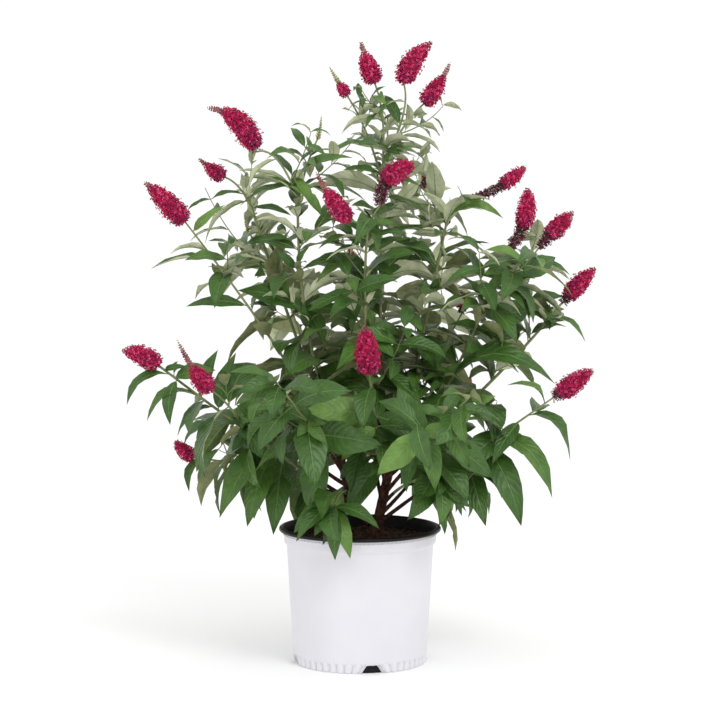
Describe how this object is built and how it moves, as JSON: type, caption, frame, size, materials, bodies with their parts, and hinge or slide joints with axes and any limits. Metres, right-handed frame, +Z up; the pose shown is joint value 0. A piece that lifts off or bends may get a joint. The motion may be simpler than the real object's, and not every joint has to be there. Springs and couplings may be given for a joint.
{
  "type": "potted butterfly bush",
  "caption": "Flowering shrub in a plain round nursery pot: leaning trunk, tapering boughs, masses of lance-shaped leaves and red flower spikes.",
  "frame": {"origin": "centre of the pot's flat underside, on the ground", "axes": "+Z up, -Y towards the front as pictured, +X to the right of that view"},
  "size_m": [0.8092, 0.6658, 1.0676],
  "materials": {
    "pot": "white outside, black inside, on the rolled lip and in the drainage notches; smooth moulded plastic",
    "soil": "dark crumbly bark-based potting mix",
    "bark": "fine vertical fissures, reddish brown, matt",
    "foliage": "soft green leaves, grey-green beneath, with crimson flower spikes"
  },
  "bodies": {
    "root": {"pot": "pot", "soil": "soil", "trunk": "bark", "limb_left": "bark", "bough_leader": "bark", "bough_high_left": "bark", "bough_upper_left": "bark", "bough_reach_left": "bark", "bough_low_left": "bark", "bough_lowest_left": "bark", "bough_front_spike": "bark", "bough_front_pair": "bark", "bough_high_right": "bark", "bough_upper_right": "bark", "bough_reach_right": "bark", "bough_low_right": "bark", "bough_skirt_right": "bark", "bough_skirt_left": "bark", "bough_mid_right": "bark", "bough_front_left": "bark", "bough_front_right": "bark", "bough_back_low_left": "bark", "bough_back_mid_left": "bark", "bough_back_low": "bark", "bough_back_mid": "bark", "bough_back_mid_right": "bark", "bough_back_low_right": "bark", "mass_leader": "foliage", "mass_high_left": "foliage", "mass_upper_left": "foliage", "mass_reach_left": "foliage", "mass_low_left": "foliage", "mass_lowest_left": "foliage", "mass_front_spike": "foliage", "mass_front_pair": "foliage", "mass_high_right": "foliage", "mass_upper_right": "foliage", "mass_reach_right": "foliage", "mass_low_right": "foliage", "mass_skirt_right": "foliage", "mass_skirt_left": "foliage", "mass_mid_right": "foliage", "mass_front_left": "foliage", "mass_front_right": "foliage", "mass_back_low_left": "foliage", "mass_back_mid_left": "foliage", "mass_back_low": "foliage", "mass_back_mid": "foliage", "mass_back_mid_right": "foliage", "mass_back_low_right": "foliage"}
  },
  "joints": []
}
